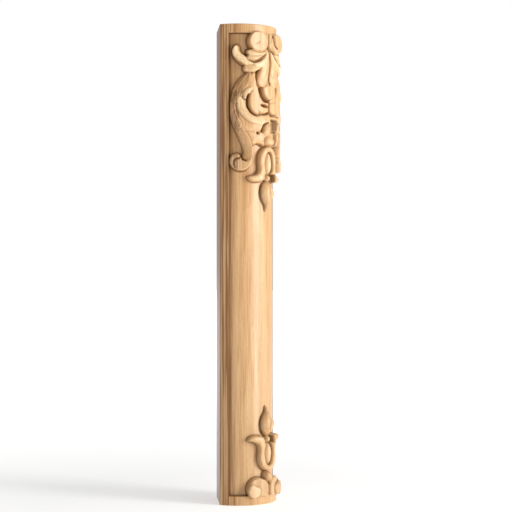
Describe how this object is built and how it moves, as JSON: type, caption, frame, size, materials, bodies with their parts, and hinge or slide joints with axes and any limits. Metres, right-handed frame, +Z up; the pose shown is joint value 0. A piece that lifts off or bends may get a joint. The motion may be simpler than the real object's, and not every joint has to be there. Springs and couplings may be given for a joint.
{
  "type": "carved wooden corner column",
  "caption": "Upright column in light oak with a framed round front, volutes, acanthus leaf, scrolls and tulips carved in relief, and flat backs meeting at a right angle.",
  "frame": {"origin": "on the underside, at the centre of the round front", "axes": "+Z up along the column, -Y out of the middle of the round front, +Y towards the back corner"},
  "size_m": [0.1134, 0.1095, 0.72],
  "materials": {
    "oak": "light oak with fine upright grain under a thin satin clear coat"
  },
  "bodies": {
    "root": {"carved_column": "oak"}
  },
  "joints": []
}
